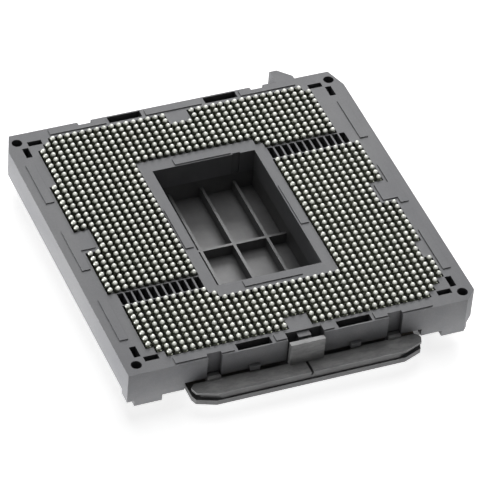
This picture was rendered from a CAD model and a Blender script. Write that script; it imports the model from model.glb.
"""Looks for the land grid socket: finishes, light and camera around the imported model."""

import math

import bpy
from mathutils import Matrix, Vector


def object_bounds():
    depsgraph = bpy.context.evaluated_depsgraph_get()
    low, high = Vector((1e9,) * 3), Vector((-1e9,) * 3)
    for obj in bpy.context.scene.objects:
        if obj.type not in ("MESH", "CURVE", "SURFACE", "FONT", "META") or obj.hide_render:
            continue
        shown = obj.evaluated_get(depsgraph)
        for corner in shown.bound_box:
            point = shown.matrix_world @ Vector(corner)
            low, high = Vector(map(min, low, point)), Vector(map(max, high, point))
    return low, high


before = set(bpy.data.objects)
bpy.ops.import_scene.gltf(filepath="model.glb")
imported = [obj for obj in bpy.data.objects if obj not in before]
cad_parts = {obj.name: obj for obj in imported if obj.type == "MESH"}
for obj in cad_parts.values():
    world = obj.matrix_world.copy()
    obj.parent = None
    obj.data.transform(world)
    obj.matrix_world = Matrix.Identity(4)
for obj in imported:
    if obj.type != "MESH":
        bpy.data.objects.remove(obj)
cad_low, cad_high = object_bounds()

MM = 0.001
PITCH = 0.9144 * MM

BALL_RADIUS = 0.3 * MM
BALL_MIDDLE = cad_high[2] - BALL_RADIUS
# The gold on the contacts stops halfway up the base.
GOLD_TOP = cad_high[2] - 2.4 * MM
# The handles stand out past the ends of the housing.
HOUSING_END = 21.05 * MM
HANDLE_TOP = cad_high[2] - 3.75 * MM

# The camera aims a little off the middle of the ball field, as the photograph does.
AIM = Vector((-1.22 * MM, -4.13 * MM, BALL_MIDDLE))
CAMERA_DISTANCE = 464.8 * MM
CAMERA_AZIMUTH = math.radians(-25.32)
CAMERA_ELEVATION = math.radians(41.61)
CAMERA_ROLL = math.radians(5.23)
CAMERA_LENS = 306.45
SENSOR_WIDTH = 36

LAMP_DISTANCE = 0.5
SOFTBOX = 0.3

# The world's strength as a light, and as it is seen
WORLD_LIGHT = 0.04
WORLD_SEEN = 1.0

FLOOR_SIZE = 4
FLOOR_GAP = 0.02 * MM
FLOOR_GREY = 0.85
# How strongly the floor's own white adds to what is seen of it, and how strongly it glows
FLOOR_SEEN = 0.75
FLOOR_GLOW = 2.0
# The floor glows evenly this far from the middle, and no more past the second distance.
GLOW_FULL = 25 * MM
GLOW_END = 33 * MM


# ---- Node helpers ----

class Graph:
    """A material's node tree, with short calls for what every finish here uses."""

    def __init__(self, name):
        self.material = bpy.data.materials.new(name)
        self.material.use_nodes = True
        self.tree = self.material.node_tree
        self.shader = self.tree.nodes["Principled BSDF"]
        self.position = self.add("ShaderNodeTexCoord").outputs["Object"]

    def add(self, kind, **values):
        node = self.tree.nodes.new(kind)
        for key, value in values.items():
            setattr(node, key, value)
        return node

    def link(self, source, target):
        self.tree.links.new(source, target)

    def noise(self, scale, detail, roughness, stretch=(1, 1, 1)):
        """Noise whose scale is in features per metre."""
        mapping = self.add("ShaderNodeMapping")
        mapping.inputs["Scale"].default_value = stretch
        self.link(self.position, mapping.inputs["Vector"])
        noise = self.add("ShaderNodeTexNoise")
        noise.inputs["Scale"].default_value = scale
        noise.inputs["Detail"].default_value = detail
        noise.inputs["Roughness"].default_value = roughness
        self.link(mapping.outputs["Vector"], noise.inputs["Vector"])
        return noise.outputs["Fac"]

    def ramp(self, source, stops):
        """Colours or greys along a value. Each stop is (place, colour or grey)."""
        ramp = self.add("ShaderNodeValToRGB")
        elements = ramp.color_ramp.elements
        while len(elements) < len(stops):
            elements.new(1)
        for element, (place, colour) in zip(elements, stops):
            element.position = place
            grey = (colour,) * 3 if isinstance(colour, (int, float)) else colour
            element.color = (*grey, 1)
        self.link(source, ramp.inputs["Fac"])
        return ramp.outputs["Color"]

    def mix(self, blend, factor, first, second):
        """Two colours mixed. Any of them may be an output or a plain value."""
        node = self.add("ShaderNodeMix", data_type="RGBA", blend_type=blend)
        for socket, value in ((0, factor), (6, first), (7, second)):
            if isinstance(value, bpy.types.NodeSocket):
                self.link(value, node.inputs[socket])
            else:
                plain = value if socket == 0 else (*value, 1)
                node.inputs[socket].default_value = plain
        return node.outputs[2]

    def bump(self, height, distance, strength):
        node = self.add("ShaderNodeBump")
        node.inputs["Distance"].default_value = distance
        node.inputs["Strength"].default_value = strength
        self.link(height, node.inputs["Height"])
        return node.outputs["Normal"]

    def axis(self, name):
        """One coordinate of the point in the frame."""
        split = self.add("ShaderNodeSeparateXYZ")
        self.link(self.position, split.inputs[0])
        return split.outputs[name]

    def below(self, height, softness):
        """0 above a height in the frame, 1 below it."""
        level = self.add("ShaderNodeMapRange")
        level.inputs["From Min"].default_value = height + softness
        level.inputs["From Max"].default_value = height - softness
        self.link(self.axis("Z"), level.inputs["Value"])
        return level.outputs["Result"]

    def beyond_end(self, distance):
        """0 within a distance of the middle along Y, 1 past it, at both ends."""
        length = self.add("ShaderNodeMath", operation="ABSOLUTE")
        self.link(self.axis("Y"), length.inputs[0])
        past = self.add("ShaderNodeMath", operation="GREATER_THAN")
        self.link(length.outputs[0], past.inputs[0])
        past.inputs[1].default_value = distance
        return past.outputs[0]

    def crevices(self, distance, darkest):
        """A grey that falls to darkest in slots and corners, where dust and shade gather."""
        occlusion = self.add("ShaderNodeAmbientOcclusion", samples=8)
        occlusion.inputs["Distance"].default_value = distance
        return self.ramp(occlusion.outputs["AO"], [(0.15, darkest), (0.85, 1.0)])

    def set(self, name, value):
        socket = self.shader.inputs[name]
        if isinstance(value, bpy.types.NodeSocket):
            self.link(value, socket)
        else:
            socket.default_value = value


# ---- Finishes ----

def housing_finish():
    """Grey glass-filled liquid crystal polymer: matte, with faint flow streaks and speckle."""
    g = Graph("housing_polymer")
    streaks = g.noise(260, 4, 0.6, stretch=(1, 0.25, 1))
    speckle = g.noise(9000, 2, 0.7)
    mottle = g.noise(900, 4, 0.6)
    base = g.ramp(streaks, [(0.3, (0.242, 0.244, 0.257)), (0.7, (0.286, 0.287, 0.295))])
    spotted = g.mix("MULTIPLY", 0.35, base, g.ramp(speckle, [(0.35, 0.72), (0.65, 1.0)]))
    dull = g.mix("MULTIPLY", 0.3, spotted, g.ramp(mottle, [(0.3, 0.8), (0.7, 1.0)]))
    g.set("Base Color", g.mix("MULTIPLY", 1.0, dull, g.crevices(4 * MM, 0.3)))
    g.set("Roughness", g.ramp(mottle, [(0.3, 0.5), (0.7, 0.62)]))
    g.set("Normal", g.bump(speckle, 0.012 * MM, 0.5))
    g.set("Specular IOR Level", 0.15)
    return g.material


def cap_finish():
    """Charcoal cap plastic: satin, with a fine eroded grain, and scuffed pale on the handles."""
    g = Graph("cap_plastic")
    grain = g.noise(12000, 2, 0.6)
    rub = g.noise(500, 5, 0.6)
    base = g.ramp(rub, [(0.35, (0.108, 0.108, 0.11)), (0.7, (0.135, 0.135, 0.137))])
    scuffs = g.noise(1200, 4, 0.7, stretch=(0.35, 1, 1))
    scuffed = g.ramp(scuffs, [(0.35, (0.2, 0.2, 0.202)), (0.65, (0.33, 0.33, 0.33))])
    unworn = g.mix("MIX", g.below(HANDLE_TOP, 0.05 * MM), scuffed, base)
    worn = g.mix("MIX", g.beyond_end(HOUSING_END), base, unworn)
    g.set("Base Color", g.mix("MULTIPLY", 1.0, worn, g.crevices(1.2 * MM, 0.45)))
    g.set("Roughness", g.ramp(grain, [(0.3, 0.4), (0.7, 0.55)]))
    g.set("Normal", g.bump(grain, 0.01 * MM, 0.5))
    return g.material


def contact_finish():
    """Copper alloy strip, gold plated at the free tip and dull dark nickel above it."""
    g = Graph("contact_plating")
    lines = g.noise(6000, 3, 0.6, stretch=(1, 0.1, 0.1))
    tarnish = g.noise(1500, 3, 0.5)
    gold = g.ramp(tarnish, [(0.3, (0.78, 0.52, 0.2)), (0.7, (0.9, 0.66, 0.3))])
    nickel = g.ramp(tarnish, [(0.3, (0.26, 0.275, 0.21)), (0.7, (0.35, 0.365, 0.29))])
    plated = g.below(GOLD_TOP, 0.2 * MM)
    g.set("Base Color", g.mix("MIX", plated, nickel, gold))
    g.set("Metallic", g.ramp(plated, [(0, 0.5), (1, 1.0)]))
    g.set("Roughness", g.ramp(lines, [(0.3, 0.25), (0.7, 0.42)]))
    g.set("Normal", g.bump(lines, 0.004 * MM, 0.4))
    return g.material


def solder_finish():
    """Reflowed solder: satin, each ball a little lighter or darker, with olive flux at its foot."""
    g = Graph("solder")
    cell = g.add("ShaderNodeVectorMath", operation="SCALE")
    g.link(g.position, cell.inputs[0])
    cell.inputs["Scale"].default_value = 1 / PITCH
    whole = g.add("ShaderNodeVectorMath", operation="FLOOR")
    g.link(cell.outputs[0], whole.inputs[0])
    ball = g.add("ShaderNodeTexWhiteNoise", noise_dimensions="3D")
    g.link(whole.outputs[0], ball.inputs["Vector"])
    frost = g.noise(14000, 3, 0.6)
    patches = g.noise(3500, 2, 0.5)
    base = g.ramp(ball.outputs["Value"], [(0, (0.54, 0.55, 0.51)), (1, (0.7, 0.71, 0.66))])
    skin = g.mix("MULTIPLY", 0.4, base, g.ramp(patches, [(0.35, 0.75), (0.6, 1.0)]))
    foot = g.below(BALL_MIDDLE, 0.18 * MM)
    g.set("Base Color", g.mix("MIX", foot, skin, (0.17, 0.18, 0.135)))
    g.set("Metallic", 0.75)
    g.set("Roughness", g.ramp(frost, [(0.3, 0.38), (0.7, 0.55)]))
    g.set("Normal", g.bump(frost, 0.006 * MM, 0.5))
    return g.material


def dress_cad_nodes():
    finishes = {
        "housing": housing_finish(),
        "cap": cap_finish(),
        "contacts": contact_finish(),
        "balls": solder_finish(),
    }
    for name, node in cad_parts.items():
        finish = finishes[name.split("_")[0]]
        node.data.materials.clear()
        node.data.materials.append(finish)


# ---- Stage, light and camera ----

class StageNodes:
    """A node tree of the stage, with short calls for what the floor and the world share."""

    def __init__(self, tree):
        self.tree = tree

    def add(self, kind, **inputs):
        """A node whose inputs are set by name, to an output or a plain value."""
        node = self.tree.nodes.new(kind)
        for name, value in inputs.items():
            self.set(node.inputs[name.replace("_", " ")], value)
        return node

    def set(self, socket, value):
        if isinstance(value, bpy.types.NodeSocket):
            self.tree.links.new(value, socket)
        else:
            socket.default_value = value

    def math(self, operation, *values):
        node = self.add("ShaderNodeMath")
        node.operation = operation
        for socket, value in zip(node.inputs, values):
            self.set(socket, value)
        return node.outputs[0]

    def seen(self):
        """1 where the camera, metal or glass sees the stage, 0 where it is a light."""
        path = self.add("ShaderNodeLightPath").outputs
        reflected = self.math("MAXIMUM", path["Is Glossy Ray"], path["Is Transmission Ray"])
        return self.math("MAXIMUM", path["Is Camera Ray"], reflected)

    def mix(self, factor, first, second):
        return self.add("ShaderNodeMix", Factor=factor, A=first, B=second).outputs[0]


def floor_strength(nodes):
    """How strongly the floor shines: white where it is seen, and a glow round the part.

    The glow is what lights the walls from below. It fades out past the part, and falls on
    other surfaces only.
    """
    place = nodes.add("ShaderNodeTexCoord").outputs["Object"]
    split = nodes.add("ShaderNodeSeparateXYZ", Vector=place)
    from_middle = nodes.math(
        "MAXIMUM",
        nodes.math("ABSOLUTE", split.outputs["X"]),
        nodes.math("ABSOLUTE", split.outputs["Y"]),
    )
    glow = nodes.add(
        "ShaderNodeMapRange",
        Value=from_middle, From_Min=GLOW_FULL, From_Max=GLOW_END, To_Min=FLOOR_GLOW, To_Max=0.0,
    )
    return nodes.mix(nodes.seen(), glow.outputs["Result"], FLOOR_SEEN)


def make_floor():
    bpy.ops.mesh.primitive_plane_add(size=FLOOR_SIZE, location=(0, 0, -FLOOR_GAP))
    floor = bpy.context.object
    floor.name = "floor"
    material = bpy.data.materials.new("floor_white")
    material.use_nodes = True
    nodes = StageNodes(material.node_tree)
    shader = material.node_tree.nodes["Principled BSDF"].inputs
    shader["Base Color"].default_value = (FLOOR_GREY, FLOOR_GREY, FLOOR_GREY, 1)
    shader["Roughness"].default_value = 0.9
    shader["Emission Color"].default_value = (1, 1, 1, 1)
    nodes.set(shader["Emission Strength"], floor_strength(nodes))
    floor.data.materials.append(material)


def make_world():
    world = bpy.data.worlds.new("world")
    bpy.context.scene.world = world
    world.use_nodes = True
    nodes = StageNodes(world.node_tree)
    sky = world.node_tree.nodes["Background"].inputs
    sky["Color"].default_value = (1, 1, 1, 1)
    nodes.set(sky["Strength"], nodes.mix(nodes.seen(), WORLD_LIGHT, WORLD_SEEN))


def area_light(name, azimuth, elevation, width, height, power):
    """A softbox that looks at the object. Azimuth 0 is the front, -90 the left."""
    a, e = math.radians(azimuth), math.radians(elevation)
    place = Vector((math.sin(a) * math.cos(e), -math.cos(a) * math.cos(e), math.sin(e)))
    data = bpy.data.lights.new(name, "AREA")
    data.shape = "RECTANGLE"
    data.size = width
    data.size_y = height
    data.energy = power
    lamp = bpy.data.objects.new(name, data)
    bpy.context.scene.collection.objects.link(lamp)
    lamp.location = place * LAMP_DISTANCE
    lamp.rotation_euler = (-place).to_track_quat("-Z", "Y").to_euler()


def make_lights():
    area_light("key_back", 155, 30, SOFTBOX, SOFTBOX, 1.95)
    area_light("top", 170, 75, SOFTBOX, SOFTBOX, 0.72)
    # A strip just above the floor, which lights the left wall and stays out of the window
    area_light("strip_left", -100, 1.6, SOFTBOX, SOFTBOX / 12, 1.95)


def make_camera():
    data = bpy.data.cameras.new("camera")
    data.lens = CAMERA_LENS
    data.sensor_width = SENSOR_WIDTH
    data.clip_start = 0.01
    camera = bpy.data.objects.new("camera", data)
    bpy.context.scene.collection.objects.link(camera)
    away = Vector((
        math.sin(CAMERA_AZIMUTH) * math.cos(CAMERA_ELEVATION),
        -math.cos(CAMERA_AZIMUTH) * math.cos(CAMERA_ELEVATION),
        math.sin(CAMERA_ELEVATION),
    ))
    look = (-away).to_track_quat("-Z", "Y").to_matrix().to_4x4()
    roll = Matrix.Rotation(CAMERA_ROLL, 4, "Z")
    camera.matrix_world = Matrix.Translation(AIM + away * CAMERA_DISTANCE) @ look @ roll
    bpy.context.scene.camera = camera


dress_cad_nodes()
make_floor()
make_world()
make_lights()
make_camera()
bpy.context.scene.view_settings.view_transform = "Standard"
